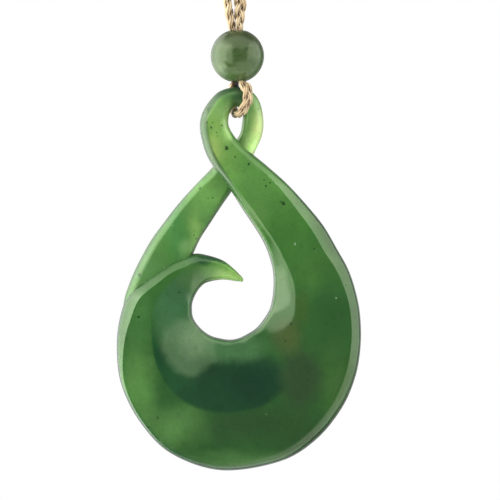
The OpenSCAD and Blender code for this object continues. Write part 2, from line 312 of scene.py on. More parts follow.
def section(row):
    """One ring of points around the strand. With it, for each point, how far across the strand it
    lies, from -1 at the outer edge over 0 at the crown to 1, and the height of its edge there."""
    outer, inner, depth, half, crown = row[0:2], row[2:4], row[4], row[5], row[6]
    outer_edge, inner_edge, rim, bevel, fall = row[7:12]
    width = math.dist(outer, inner)
    outer_edge = min(outer_edge, EDGE_SHARE * crown * width)
    inner_edge = min(inner_edge, EDGE_SHARE * (1 - crown) * width)
    distance = stations(width, crown * width, outer_edge, inner_edge)
    share = distance / width
    across = np.where(share < crown, share / crown - 1, (share - crown) / (1 - crown))
    drop = np.where(across < 0, FACE_BOW * across**2, (1 - rim) * np.abs(across) ** fall)
    flat = bevelled(distance, outer_edge, half)
    edge = bevel * flat + (1 - bevel) * rounded(distance, outer_edge)
    edge *= rounded(width - distance, inner_edge)
    ring = np.stack([share, edge * (1 - drop), across, edge], axis=1)
    ring = np.concatenate([ring, ring[-2:0:-1] * [1, -1, 1, 1]])
    x = outer[0] + (inner[0] - outer[0]) * ring[:, 0]
    z = outer[1] + (inner[1] - outer[1]) * ring[:, 0]
    return np.stack([x, depth + half * ring[:, 1], z], axis=1), ring[:, 2], ring[:, 3]


def loft_faces(rings, around, first=0):
    """Faces of a closed body through rings of points, wound so that they face out."""
    faces = []
    for i in range(rings - 1):
        for k in range(around):
            n = (k + 1) % around
            a = first + i * around
            faces.append((a + k, a + n, a + around + n, a + around + k))
    faces.append(tuple(first + k for k in reversed(range(around))))
    faces.append(tuple(first + (rings - 1) * around + k for k in range(around)))
    return faces


def new_object(name, points, faces):
    """A smooth mesh object from points in millimetres."""
    mesh = bpy.data.meshes.new(name)
    mesh.from_pydata((np.asarray(points) * MM).tolist(), [], faces)
    mesh.update()
    mesh.polygons.foreach_set("use_smooth", [True] * len(mesh.polygons))
    made = bpy.data.objects.new(name, mesh)
    bpy.context.scene.collection.objects.link(made)
    return made


def keep_values(mesh, **columns):
    """Keeps numbers at a mesh's points, by name, for its material."""
    for name, values in columns.items():
        layer = mesh.attributes.new(name, "FLOAT", "POINT")
        layer.data.foreach_set("value", values.astype(np.float32))


def points_of(mesh):
    """A mesh's points as an array, in metres."""
    places = np.empty(len(mesh.vertices) * 3)
    mesh.vertices.foreach_get("co", places)
    return places.reshape(-1, 3)


def joined(first, second):
    """Two closed bodies as one, without what lies inside."""
    change = first.modifiers.new("joined", "BOOLEAN")
    change.operation = "UNION"
    change.solver = "EXACT"
    change.object = second
    graph = bpy.context.evaluated_depsgraph_get()
    mesh = bpy.data.meshes.new_from_object(first.evaluated_get(graph))
    first.modifiers.clear()
    first.data = mesh
    bpy.data.objects.remove(second)
    return first


def domed(rings):
    """Rings with a rounded end added before the first."""
    middle = rings[0].mean(axis=0)
    ahead = middle - rings[1].mean(axis=0)
    ahead /= np.linalg.norm(ahead)
    reach = np.linalg.norm(rings[0] - middle, axis=1).min()
    dome = []
    for t in np.linspace(math.pi / 2, 0, TIP_RINGS, endpoint=False) * TIP_DOME:
        dome.append(middle + (rings[0] - middle) * math.cos(t) + ahead * reach * math.sin(t))
    return dome + rings


def nearest_points(places, mesh):
    """For each point of a mesh, the number of the nearest of these places, in millimetres."""
    tree = KDTree(len(places))
    for i, place in enumerate(places):
        tree.insert(place * MM, i)
    tree.balance()
    return [tree.find(point)[1] for point in points_of(mesh)]


def carve_pendant():
    """The carving, from the same rows as its solid, with its form kept for the stone's material."""
    rows = smooth_rows(FRONT_ROWS + BACK_ROWS, CARVING_STEPS)
    eye_top = (len(FRONT_ROWS) - 1) * CARVING_STEPS
    rings, across, edge = zip(*(section(row) for row in rows))
    flat = np.concatenate(rings)
    low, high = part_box("pendant")
    scale = (high.z - low.z) / MM / np.ptp(flat[:, 2])
    halves = []
    for name, part in (("front", domed(list(rings[: eye_top + 1]))), ("back", rings[eye_top:])):
        points = np.concatenate(part) * scale + HINGE
        faces = loft_faces(len(part), RING_POINTS)
        halves.append(new_object(f"carving_{name}", points, faces))
    carving = joined(*halves)
    carving.name = "pendant_carving"
    carving.data.set_sharp_from_angle(angle=math.radians(SHARP_ANGLE))
    nearest = nearest_points(flat * scale + HINGE, carving.data)
    keep_values(
        carving.data,
        across=np.concatenate(across)[nearest],
        edge=np.concatenate(edge)[nearest],
        thick=np.repeat(2 * rows[:, 5], RING_POINTS)[nearest],
        front=np.repeat(np.arange(len(rows)) <= eye_top, RING_POINTS)[nearest],
    )
    return carving


def top_row(x, z):
    """A row of the cord's route at the loop's top, where the plait lies flat and edge on."""
    return [x, 0, z, TOP_TURN, 0]


def cord_rows():
    """The whole loop's route, from the middle of the knot and back to it."""
    knot_low, knot_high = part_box("knot")
    top_z = (knot_low.z + knot_high.z) / 2 / MM
    bend_end = knot_high.x / MM + BESIDE_KNOT
    bend_r = LOOP_HALF_W - bend_end
    bend = []
    for a in np.linspace(0, math.pi / 2, BEND_STEPS + 1):
        bend.append(top_row(-bend_end - bend_r * math.sin(a), top_z - bend_r * (1 - math.cos(a))))
    bend = np.array(bend)
    mirrored = bend[::-1] * [-1, 1, 1, 1, 1]
    lift = np.array([0, 0, HINGE[2], 0, 0])
    left, bight, right = (np.array(rows) + lift for rows in (LEFT_LEG, BIGHT, RIGHT_LEG))
    shares = np.linspace(0, 1, LEG_STEPS + 1)[1:-1, None]
    return np.concatenate(
        [
            [top_row(-x, top_z) for x in IN_KNOT],
            bend,
            bend[-1] + (left[0] - bend[-1]) * shares,
            left,
            bight,
            right,
            right[-1] + (mirrored[0] - right[-1]) * shares,
            mirrored,
            [top_row(x, top_z) for x in reversed(IN_KNOT)],
        ]
    )


def centre_line(rows):
    """A route's rows, smoothed and set evenly along it, closer together near the bead, and how
    far along it each lies."""
    stretches = np.linalg.norm(np.diff(rows[:, :3], axis=0), axis=1)
    marks = np.concatenate([[0], np.cumsum(np.maximum(LEAST_STRETCH, stretches) ** 0.5)])
    slopes = np.gradient(rows, marks, axis=0)
    fine = []
    for i, span in enumerate(np.diff(marks)):
        for t in np.linspace(0, 1, ROUTE_STEPS, endpoint=False):
            fine.append(
                (2 * t**3 - 3 * t**2 + 1) * rows[i]
                + (t**3 - 2 * t**2 + t) * span * slopes[i]
                + (3 * t**2 - 2 * t**3) * rows[i + 1]
                + (t**3 - t**2) * span * slopes[i + 1]
            )
    fine = np.array(fine + [rows[-1]])
    run = np.concatenate([[0], np.cumsum(np.linalg.norm(np.diff(fine[:, :3], axis=0), axis=1))])
    spacing = np.where(fine[:, 2] < HINGE[2] + NEAR_BEAD, NEAR_SPACING, FAR_SPACING)
    count = np.concatenate([[0], np.cumsum(np.diff(run) / spacing[1:])])
    at = np.interp(np.linspace(0, count[-1], int(count[-1]) + 1), count, run)
    return np.stack([np.interp(at, run, column) for column in fine.T], axis=1), at


def unit(vectors):
    """Rows of vectors at length 1."""
    return vectors / np.linalg.norm(vectors, axis=1, keepdims=True)


def square_to(vectors, ahead):
    """Unit vectors with what lies along ahead taken out."""
    return unit(vectors - (vectors * ahead).sum(axis=1, keepdims=True) * ahead)


def tube_rings(line, width, thick, flat, sides, ridge=1.0):
    """Rings of points around a line, oval, with the oval's thickness along flat."""
    ahead = unit(np.gradient(line, axis=0))
    up = square_to(flat, ahead)
    side = np.cross(up, ahead)
    angle = 2 * math.pi * np.arange(sides) / sides
    return (
        line[:, None, :]
        + (width * ridge * np.cos(angle))[..., None] * side[:, None, :]
        + (thick * ridge * np.sin(angle))[..., None] * up[:, None, :]
    )


def painted_shadow_share(points):
    """How far points lie in the painted shadow between the bead and the eye, from 0 to 1."""
    share = (points[..., 2] < PAINTED_SHADOW_TOP).astype(float)
    for axis, (begins, full) in enumerate(PAINTED_SHADOW_FROM):
        share *= np.clip((points[..., axis] - begins) / (full - begins), 0, 1)
    return share


def plait_cord():
    """The flat plait along the whole loop: three plies, with the yarns' ridges along each."""
    rows, at = centre_line(cord_rows())
    line, turn, bunch = rows[:, :3], np.radians(rows[:, 3]), np.clip(rows[:, 4:5], 0, 1)
    ahead = unit(np.gradient(line, axis=0))
    wide = square_to(np.stack([np.cos(turn), np.sin(turn), 0 * turn], axis=1), ahead)
    deep = np.cross(ahead, wide)
    narrow = 1 - SQUEEZE_PLY * bunch
    reach_w = (PLAIT_W / 2 - PLY_W * (1 - EDGE_NARROW)) * (1 - SQUEEZE_W * bunch)
    reach_t = (PLAIT_T / 2 - PLY_T) * narrow
    half_w = reach_w + PLY_W * narrow
    half_t = PLAIT_T / 2 * narrow
    around = np.arange(YARN_POINTS * YARNS)
    groove = (around % YARN_POINTS == 0).astype(float)
    points, faces, bare, number = [], [], [], []
    for ply in range(PLIES):
        phase = 2 * math.pi * (at / PLAIT_CYCLE + ply / PLIES)[:, None]
        centre = line + reach_w * np.sin(phase) * wide + reach_t * np.sin(2 * phase) * deep
        edge = np.sin(phase) ** 2
        ply_w = PLY_W * narrow * (1 - EDGE_NARROW * edge)
        ply_t = PLY_T * narrow * (1 + EDGE_SPREAD * edge)
        rings = tube_rings(centre, ply_w, ply_t, deep, len(around), 1 - GROOVE * groove)
        faces += loft_faces(len(rings), len(around), ply * len(rings) * len(around))
        points.append(rings.reshape(-1, 3))
        # How far out each point lies, less the grooves and the shadow by the bead: painted light
        # for the thread
        off = rings - line[:, None, :]
        far_w = np.abs((off * wide[:, None, :]).sum(axis=2)) / half_w
        far_t = np.abs((off * deep[:, None, :]).sum(axis=2)) / half_t
        out = (far_w**3 + far_t**3) ** (1 / 3)
        bare.append((out - GROOVE_PAINTED_SHADE * groove - painted_shadow_share(rings - HINGE)).reshape(-1))
        number.append(np.tile(ply * YARNS + around // YARN_POINTS, len(rings)))
    cord = new_object("cord_plait", np.concatenate(points), faces)
    keep_values(cord.data, yarn_bare=np.concatenate(bare), yarn_number=np.concatenate(number))
    return cord


def lathe(name, profile, sides, centre):
    """A closed ring-shaped body turned about +Z. The profile's last point joins its first."""
    points = []
    for a in 2 * math.pi * np.arange(sides) / sides:
        points += [[r * math.cos(a), r * math.sin(a), z] for r, z in profile]
    count = len(profile)
    faces = []
    for i in range(sides):
        a = i * count
        b = (i + 1) % sides * count
        for k in range(count):
            n = (k + 1) % count
            faces.append((a + k, b + k, b + n, a + n))
    return new_object(name, np.array(points) + centre, faces)


def turn_bead():
    """The bead with softly rounded mouths to its hole."""
    low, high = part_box("bead")
    centre = np.array((low + high) / 2) / MM
    radius = (high.x - low.x) / 2 / MM
    start = math.asin((BORE_R + BORE_RIM) / radius)
    mouth_z = radius * math.cos(start) - BORE_RIM
    bore_z = mouth_z - BORE_START
    ball = np.linspace(start, math.pi - start, BALL_POINTS)
    profile = [(radius * math.sin(a), -radius * math.cos(a)) for a in ball]
    mouth = []
    for a in np.linspace(math.pi / 2 / MOUTH_POINTS, math.pi / 2, MOUTH_POINTS):
        mouth.append((BORE_R + BORE_RIM * (1 - math.sin(a)), mouth_z + BORE_RIM * math.cos(a)))
    profile += mouth
    profile += [(BORE_R, z) for z in np.linspace(bore_z, -bore_z, BORE_POINTS)]
    profile += [(r, -z) for r, z in reversed(mouth)]
    return lathe("bead_round", profile, BEAD_SIDES, centre)


def knot_core(core_r, half):
    """Rings of the plain bevelled barrel under the knot's thread."""
    angle = 2 * math.pi * np.arange(CORE_SIDES) / CORE_SIDES
    end = [(half, CORE_END_R), (half, core_r - CORE_BEVEL), (half - CORE_BEVEL, core_r)]
    rings = []
    for x, r in end + [(-x, r) for x, r in reversed(end)]:
        ring = [np.full(CORE_SIDES, x), r * np.cos(angle), r * np.sin(angle)]
        rings.append(np.stack(ring, axis=1))
    return rings


def wind_knot():
    """The binding: one thread wound side by side around the cord's two ends."""
    low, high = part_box("knot")
    centre = np.array((low + high) / 2) / MM
    length = (high.x - low.x) / MM
    wound = (high.z - low.z) / 2 / MM - THREAD_R
    turns = int(length / (2 * THREAD_R)) - 1
    steps = turns * THREAD_STEPS
    turn = np.linspace(0, turns * 2 * math.pi, steps)
    x = np.linspace(-length / 2 + THREAD_R, length / 2 - THREAD_R, steps)
    line = np.stack([x, wound * np.cos(turn), wound * np.sin(turn)], axis=1)
    outward = np.stack([0 * turn, np.cos(turn), np.sin(turn)], axis=1)
    rings = tube_rings(line, THREAD_R, THREAD_R, outward, THREAD_SIDES)
    core = knot_core(wound - CORE_INSET, length / 2 - CORE_SHORT)
    points = np.concatenate([rings.reshape(-1, 3), *core])
    faces = loft_faces(steps, THREAD_SIDES)
    faces += loft_faces(len(core), CORE_SIDES, steps * THREAD_SIDES)
    knot = new_object("knot_winding", points + centre, faces)
    keep_values(knot.data, yarn_bare=np.ones(len(points)), yarn_number=np.zeros(len(points)))
    return knot


class NodeTree:
    """A material's or a world's nodes, with short calls for adding and joining them."""

    def __init__(self, owner):
        owner.use_nodes = True
        self.tree = owner.node_tree
        self.tree.nodes.clear()
        self.coordinates = None
        self.shader = None

    def add(self, kind, **settings):
        """A new node with these settings."""
        node = self.tree.nodes.new(f"ShaderNode{kind}")
        for name, value in settings.items():
            setattr(node, name, value)
        return node

    def join(self, source, target):
        """Sets an input to a number or colour, or links another node's output to it."""
        if isinstance(source, (int, float, tuple)):
            target.default_value = source
        else:
            self.tree.links.new(source, target)

    def fed(self, kind, *sources, **settings):
        """A new node with these sources at its first inputs."""
        node = self.add(kind, **settings)
        for source, target in zip(sources, node.inputs):
            self.join(source, target)
        return node

    def math(self, operation, *sources):
        """Numbers added, divided and so on."""
        return self.fed("Math", *sources, operation=operation).outputs[0]

    def times(self, first, *others):
        """Numbers multiplied with each other."""
        for other in others:
            first = self.math("MULTIPLY", first, other)
        return first

    def vector(self, operation, *sources, output="Vector"):
        """Vectors added, measured and so on."""
        return self.fed("VectorMath", *sources, operation=operation).outputs[output]

    def span(self, value, low, high, to_low=0.0, to_high=1.0):
        """A smooth step of a value, from to_low at low to to_high at high."""
        sources = value, low, high, to_low, to_high
        return self.fed("MapRange", *sources, interpolation_type="SMOOTHSTEP").outputs[0]

    def ramp(self, value, stops, interpolation="EASE"):
        """The colour of a value, from 0 to 1, between these stops."""
        node = self.fed("ValToRGB", value)
        node.color_ramp.interpolation = interpolation
        while len(node.color_ramp.elements) < len(stops):
            node.color_ramp.elements.new(0.5)
        for element, (place, colour) in zip(node.color_ramp.elements, stops):
            element.position = place
            element.color = (*colour, 1)
        return node.outputs[0]

    def mix(self, share, base, colour, blend="MIX"):
        """A base colour with this share of another."""
        node = self.add("Mix", data_type="RGBA", blend_type=blend)
        # The node takes its share at input 0 and its colours at 6 and 7, and gives one at 2
        for source, slot in ((share, 0), (base, 6), (colour, 7)):
            source = (*source, 1) if isinstance(source, tuple) else source
            self.join(source, node.inputs[slot])
        return node.outputs[2]

    def noise(self, scale, detail, rough=0.5, warp=0.0, output="Fac"):
        """A noise over the place."""
        node = self.fed("TexNoise", self.place())
        node.inputs["Scale"].default_value = scale
        node.inputs["Detail"].default_value = detail
        node.inputs["Roughness"].default_value = rough
        node.inputs["Distortion"].default_value = warp
        return node.outputs[output]

    def place(self):
        """The place, in metres."""
        if self.coordinates is None:
            self.coordinates = self.add("TexCoord")
        return self.coordinates.outputs["Object"]

    def place_along(self, axis):
        """The place along X, Y or Z, in millimetres."""
        parts = self.fed("SeparateXYZ", self.place())
        return self.math("DIVIDE", parts.outputs[axis], MM)

    def ragged_place(self, scale, detail, wander):
        """The place, moved up to half of wander each way by a noise, for ragged borders."""
        shift = self.noise(scale, detail, output="Color")
        centred = self.vector("SUBTRACT", shift, (0.5, 0.5, 0.5))
        return self.vector("MULTIPLY_ADD", centred, (wander * MM,) * 3, self.place())

    def kept(self, name):
        """A number that keep_values kept at the mesh's points."""
        return self.add("Attribute", attribute_name=name).outputs["Fac"]

    def bump(self, height, strength, distance):
        """Lets the light see a height that the mesh doesn't have."""
        node = self.add("Bump")
        node.inputs["Strength"].default_value = strength
        node.inputs["Distance"].default_value = distance
        self.join(height, node.inputs["Height"])
        self.join(node.outputs[0], self.shader.inputs["Normal"])

    def set(self, **values):
        """Sets or links the shader's inputs by name."""
        for name, value in values.items():
            self.join(value, self.shader.inputs[name.replace("_", " ")])


def new_material(name):
    """A material and the nodes around its one shader."""
    material = bpy.data.materials.new(name)
    nodes = NodeTree(material)
    nodes.shader = nodes.add("BsdfPrincipled")
    nodes.fed("OutputMaterial", nodes.shader.outputs[0])
    return material, nodes


# How bright the studio makes a white surface
LIGHT_LEVEL = 1.58


def albedo(shade):
    """A shade as seen, from 0 to 255, as the surface colour that gives it in this light."""
    part = np.array(shade) / 255
    # The standard curve of screen colours
    linear = np.where(part > 0.04045, ((part + 0.055) / 1.055) ** 2.4, part / 12.92)
    return tuple(np.minimum(linear / LIGHT_LEVEL, 1))


# The stone's shade where it is this thick, as seen in the studio's light: deeper where it is thick,
# and partly a painted glow of light through the thin stone
THICKNESS_SHADES_AND_GLOW = [
    (0.0, (190, 235, 130)),
    (1.2, (150, 205, 100)),
    (2.6, (132, 188, 98)),
    (3.8, (112, 170, 86)),
    (5.5, (70, 126, 56)),
    (8.0, (52, 100, 50)),
]
THICKEST = THICKNESS_SHADES_AND_GLOW[-1][0]
# Clouds in the stone, some of them painted glow, highlight, reflection and shade, as marked below.
# Side is 1 inside the crown's line, -1 outside it and 0 on both, and soft is how much of the radius
# the border takes. Part is 1 on the front strand, -1 on the back one.
# Columns: name, x, z, radius across, radius up, soft, strength, side, part, shade
CLOUDS = [
    # Painted glow: the eye's right flank and its lower part, as if lit through the stone
    ("eye_flank_glow", 3.4, -5.2, 2.4, 5.4, 0.9, 1.0, 0, -1, (238, 262, 172)),
    ("flank_low_glow", 2.4, -8.0, 2.8, 3.6, 0.9, 1.0, 0, -1, (262, 318, 196)),
    # Painted shadow of the cord on the eye's top
    ("eye_top", 0.4, 0.3, 2.3, 3.0, 0.9, 1.0, 0, 0, (36, 80, 50)),
    ("eye_upper", -1.5, 0.4, 3.6, 1.6, 0.9, 0.6, 0, 0, (74, 130, 68)),
    ("eye_left", -3.2, -4.2, 2.4, 4.6, 0.9, 0.8, 0, 1, (160, 205, 108)),
    ("crossing_left", -3.4, -8.2, 2.0, 3.6, 0.9, 0.8, 0, 1, (186, 212, 122)),
    # Painted highlight along the left rim of the eye's hole
    ("eye_rim_highlight", -1.6, -4.4, 1.1, 3.8, 0.8, 0.9, -1, 1, (190, 236, 140)),
    ("crossing", -1.8, -9.4, 4.0, 5.0, 0.9, 0.4, 0, 1, (150, 195, 100)),
    ("arm_top", -4.5, -14.5, 4.0, 4.0, 0.9, 0.7, 0, -1, (132, 192, 98)),
    ("arm_streak", -9.2, -20.0, 2.6, 8.0, 0.8, 0.7, 0, -1, (70, 144, 70)),
    ("arm_inside", -6.2, -20.5, 1.4, 5.0, 0.9, 0.7, 0, -1, (150, 200, 108)),
    ("arm_root", -7.8, -22.8, 2.2, 2.0, 0.9, 0.6, 0, -1, (134, 182, 112)),
    ("arm_low", -13.2, -26.0, 3.5, 4.5, 0.9, 0.5, 0, -1, (104, 158, 92)),
    ("strand_left", 3.0, -18.0, 2.5, 7.0, 0.9, 0.5, 0, 1, (108, 156, 82)),
    ("strand", 7.5, -19.0, 4.5, 7.0, 0.9, 0.6, 0, 1, (78, 130, 58)),
    ("strand_low", 11.5, -25.5, 5.5, 5.0, 0.9, 0.7, 0, 0, (78, 128, 60)),
    ("right", 14.5, -33.0, 5.0, 9.0, 0.7, 0.85, 0, 0, (54, 102, 52)),
    ("lower_right", 15.0, -43.0, 4.5, 8.0, 0.8, 0.7, -1, 0, (76, 120, 60)),
    ("bottom_mid", 1.0, -49.0, 11.5, 5.2, 1.0, 0.8, -1, 0, (52, 86, 50)),
    ("bottom_right", 9.0, -50.0, 6.0, 5.0, 0.9, 0.8, -1, 0, (54, 92, 50)),
    ("bottom", -1.0, -54.6, 13.0, 2.6, 0.9, 0.7, -1, 0, (92, 140, 78)),
    ("crescent", -14.8, -43.5, 4.2, 10.5, 0.8, 0.8, -1, 0, (106, 160, 84)),
    ("crescent_low", -9.5, -49.5, 7.5, 5.2, 1.0, 0.75, -1, 0, (106, 158, 86)),
    ("lobe", -14.8, -33.5, 3.0, 7.0, 0.8, 0.7, -1, 0, (76, 128, 66)),
    ("teal", -9.2, -31.5, 5.2, 7.5, 0.8, 0.9, 1, 0, (72, 122, 80)),
    ("teal_top", -6.6, -27.3, 3.5, 2.5, 0.8, 0.7, 1, 0, (94, 136, 86)),
    ("deep", -5.0, -42.5, 14.0, 6.5, 0.25, 1.0, 1, 0, (34, 76, 48)),
    ("deep_right", 2.2, -43.0, 6.2, 4.2, 0.8, 0.8, 1, 0, (26, 64, 44)),
    ("deep_left", -9.5, -41.5, 5.0, 5.0, 0.8, 0.7, 1, 0, (38, 94, 52)),
    ("ridge", -12.6, -39.0, 1.6, 5.5, 0.7, 0.8, 1, 0, (32, 90, 54)),
    ("under_hole", -1.0, -37.4, 7.5, 3.4, 0.7, 0.85, 1, 0, (86, 134, 84)),
    # Painted reflection: the pale patch left of the hole and its brighter core
    ("patch", -7.2, -37.4, 4.7, 4.9, 0.3, 0.6, 1, 0, (108, 146, 102)),
    ("patch_core_reflection", -6.4, -36.6, 3.6, 3.8, 0.9, 0.6, 1, 0, (142, 176, 130)),
    ("grey", 9.5, -42.0, 4.6, 7.0, 0.7, 0.85, 0, 0, (56, 82, 52)),
    ("olive", 7.4, -35.8, 3.2, 4.0, 0.8, 0.7, 0, 0, (86, 98, 54)),
    ("olive_top", 9.5, -31.5, 2.0, 3.5, 0.9, 0.5, 0, 0, (80, 104, 50)),
    # Painted shade on the hook's top face
    ("hook_top_shade", -4.2, -24.5, 5.0, 1.3, 0.8, 0.9, 0, 1, (52, 104, 66)),
    # Painted glow of light through the hook's thin underside
    ("hook_under_glow", -0.9, -27.2, 4.0, 1.6, 0.8, 1.0, 0, 1, (182, 226, 128)),
]
# The noise that moves the clouds' borders: scale, detail and how far it moves them
CLOUD_NOISE = (300, 4, 2.4)
# Where, across the section, outside turns to inside at the crown's line
CROWN_LINE = (-0.03, 0.05)

# The painted shade on rounded edges: its colour, and the edge's height where it begins and is full
EDGE_PAINTED_SHADE = (0.0, 0.01, 0.006)
EDGE_HEIGHT = (0.97, 0.3)
# The shares of the thickest between which its strength changes, its strength at both, and its
# least strength on the back strand
EDGE_THICK = (0.38, 0.48, 0.15, 0.6)
EDGE_BACK = 0.35
# The rim along the foot: its shade, and where it begins and is full across the section, in height,
# with its strength at both, and in x
LOW_RIM = (44, 92, 62)
LOW_RIM_ACROSS = (-0.85, -0.97)
LOW_RIM_HEIGHT = (-41, -47, 0.0, 0.85)
LOW_RIM_X = (7, 1)
# The painted shade on the rounded rim around the eye and along the crossing: the same, across and
# in height
RING_PAINTED_SHADE = (58, 94, 62)
RING_ACROSS = (0.35, 0.6)
RING_HEIGHT = (-18, -12, 0.0, 0.85)

# Noises in the stone. Columns: scale, detail, roughness, warp
STONE_NOISES = {
    "cloud": (130, 4, 0.5, 0.2),
    "fine": (800, 5, 0.6, 0.0),
    "grain": (2200, 4, 0.65, 0.0),
}
# How they tint it. Columns: noise, where the tint begins, where it is full, strength, tint
STONE_TINTS = [
    ("cloud", 0.5, 0.75, 0.5, (0.55, 0.6, 0.55)),
    ("cloud", 0.5, 0.25, 0.5, (1.5, 1.4, 1.4)),
    ("fine", 0.55, 0.75, 0.35, (0.4, 0.5, 0.4)),
    ("grain", 0.3, 0.7, 0.3, (0.6, 0.65, 0.6)),
]

# Dark flecks in the stone. Columns: x, z, radius
FLECKS = [
    (-1.6, -7.7, 0.32),
    (-0.3, -9.0, 0.16),
    (-3.2, -5.4, 0.14),
    (-4.6, -3.9, 0.17),
    (-3.7, -3.9, 0.10),
    (1.7, -10.1, 0.17),
    (4.0, -12.5, 0.15),
    (4.3, -13.4, 0.16),
    (6.9, -16.0, 0.24),
    (3.1, -1.8, 0.13),
    (-5.6, -13.7, 0.20),
    (-3.7, -15.1, 0.14),
    (-14.7, -26.7, 0.26),
    (-14.7, -32.9, 0.18),
    (-16.8, -35.4, 0.15),
    (-8.7, -29.3, 0.20),
    (11.5, -22.7, 0.14),
    (-3.9, -4.6, 0.16),
    (-2.3, -4.3, 0.10),
    (-4.4, -15.2, 0.12),
    (-6.5, -20.8, 0.17),
    (-6.2, -21.3, 0.12),
    (-11.9, -48.0, 0.15),
    (-13.3, -49.4, 0.17),
    (16.2, -28.3, 0.14),
    (6.5, -15.7, 0.16),
    (8.0, -34.0, 0.20),
    (7.2, -36.4, 0.18),
    (-17.2, -39.5, 0.10),
    (-2.2, -16.5, 0.10),
    (4.9, -12.9, 0.12),
]
# Pale flecks. Columns: x, z, radius
PALE_FLECKS = [
    (8.6, -22.0, 0.15),
    (14.8, -30.1, 0.12),
    (-10.9, -25.7, 0.12),
    (-9.7, -19.3, 0.10),
    (8.5, -9.9, 0.08),
    (4.4, -47.5, 0.08),
]
# Colour and strength of the dark and of the pale flecks
FLECK_DARK = ((0.004, 0.02, 0.008), 0.85)
FLECK_PALE = ((0.4, 0.5, 0.36), 0.7)
# The noise that makes them ragged, as for the clouds, and how much of a fleck is its border
FLECK_NOISE = (1800, 2, 0.6)
FLECK_SOFT = 0.3
# How far in front of the pendant the search for its face starts
SEARCH_AWAY = 20

# The polish: where in the fine noise it begins and ends to change, and the roughness at both. It
# is rougher by this much over this height up to the eye's top and, in part, on the back strand.
POLISH = (0.3, 0.7, 0.07, 0.12)
DULLER = 0.26
DULL_HEIGHT = (-5, 0.5)
DULL_BACK = 0.8
# The noise of its faint ripples: scale and detail
RIPPLE_NOISE = (260, 2)
# The green tint of both stones' gloss
GLOSS_TINT = (0.85, 1.0, 0.68, 1)


def clouded(nodes, base, across, front, back):
    """The stone's shade with its clouds, among them painted glow, highlights, reflection and shade.
    """
    inside = nodes.span(across, *CROWN_LINE)
    outside = nodes.math("SUBTRACT", 1, inside)
    place = nodes.ragged_place(*CLOUD_NOISE)
    for _, x, z, wide, tall, soft, strength, side, part, shade in CLOUDS:
        scale = (1 / (wide * MM), 0, 1 / (tall * MM))
        middle = (-(x + HINGE[0]) / wide, 0, -(z + HINGE[2]) / tall)
        local = nodes.vector("MULTIPLY_ADD", place, scale, middle)
        away = nodes.vector("LENGTH", local, output="Value")
        near = nodes.span(away, 1.0, 1 - soft, to_high=strength)
        if side:
            near = nodes.times(near, inside if side > 0 else outside)
        if part:
            near = nodes.times(near, front if part > 0 else back)
        base = nodes.mix(near, base, albedo(shade))
    return base


def rimmed(nodes, base, across, thick, height, front, back):
    """The stone's shade with painted shade on its edges and at the eye, and the darker rim along
    the foot.
    """
    # Painted shade on the rounded edges, stronger where the stone is thick and on the back strand
    painted_shade_by_thickness = nodes.span(thick, *EDGE_THICK)
    dark = nodes.math("MAXIMUM", painted_shade_by_thickness, nodes.times(back, EDGE_BACK))
    edge = nodes.span(nodes.kept("edge"), *EDGE_HEIGHT)
    base = nodes.mix(nodes.times(edge, dark), base, EDGE_PAINTED_SHADE)
    low = nodes.times(
        nodes.span(across, *LOW_RIM_ACROSS),
        nodes.span(height, *LOW_RIM_HEIGHT),
        nodes.span(nodes.place_along("X"), *LOW_RIM_X),
    )
    base = nodes.mix(low, base, albedo(LOW_RIM))
    # Painted shade on the rounded rim at the eye and along the crossing
    ring = nodes.times(nodes.span(across, *RING_ACROSS), nodes.span(height, *RING_HEIGHT), front)
    return nodes.mix(ring, base, albedo(RING_PAINTED_SHADE))


def spot_at(nodes, tree, place, x, z, radius):
    """A small ragged spot where the front face lies at x and z, from 0 to 1."""
    start = Vector(((x + HINGE[0]) * MM, -SEARCH_AWAY * MM, (z + HINGE[2]) * MM))
    hit = tree.ray_cast(start, Vector((0, 1, 0)))[0]
    if hit is None:
        return 0.0
    away = nodes.vector("DISTANCE", place, tuple(hit), output="Value")
    return nodes.span(away, radius * MM * (1 + FLECK_SOFT), radius * MM * (1 - FLECK_SOFT))


def flecked(nodes, base, mesh):
    """The stone's shade with its flecks."""
    corners = [Vector(point) for point in points_of(mesh)]
    tree = BVHTree.FromPolygons(corners, [tuple(face.vertices) for face in mesh.polygons])
    place = nodes.ragged_place(*FLECK_NOISE)
    for flecks, (shade, strength) in ((FLECKS, FLECK_DARK), (PALE_FLECKS, FLECK_PALE)):
        spots = 0.0
        for x, z, radius in flecks:
            spots = nodes.math("MAXIMUM", spot_at(nodes, tree, place, x, z, radius), spots)
        base = nodes.mix(nodes.times(spots, strength), base, shade)
    return base


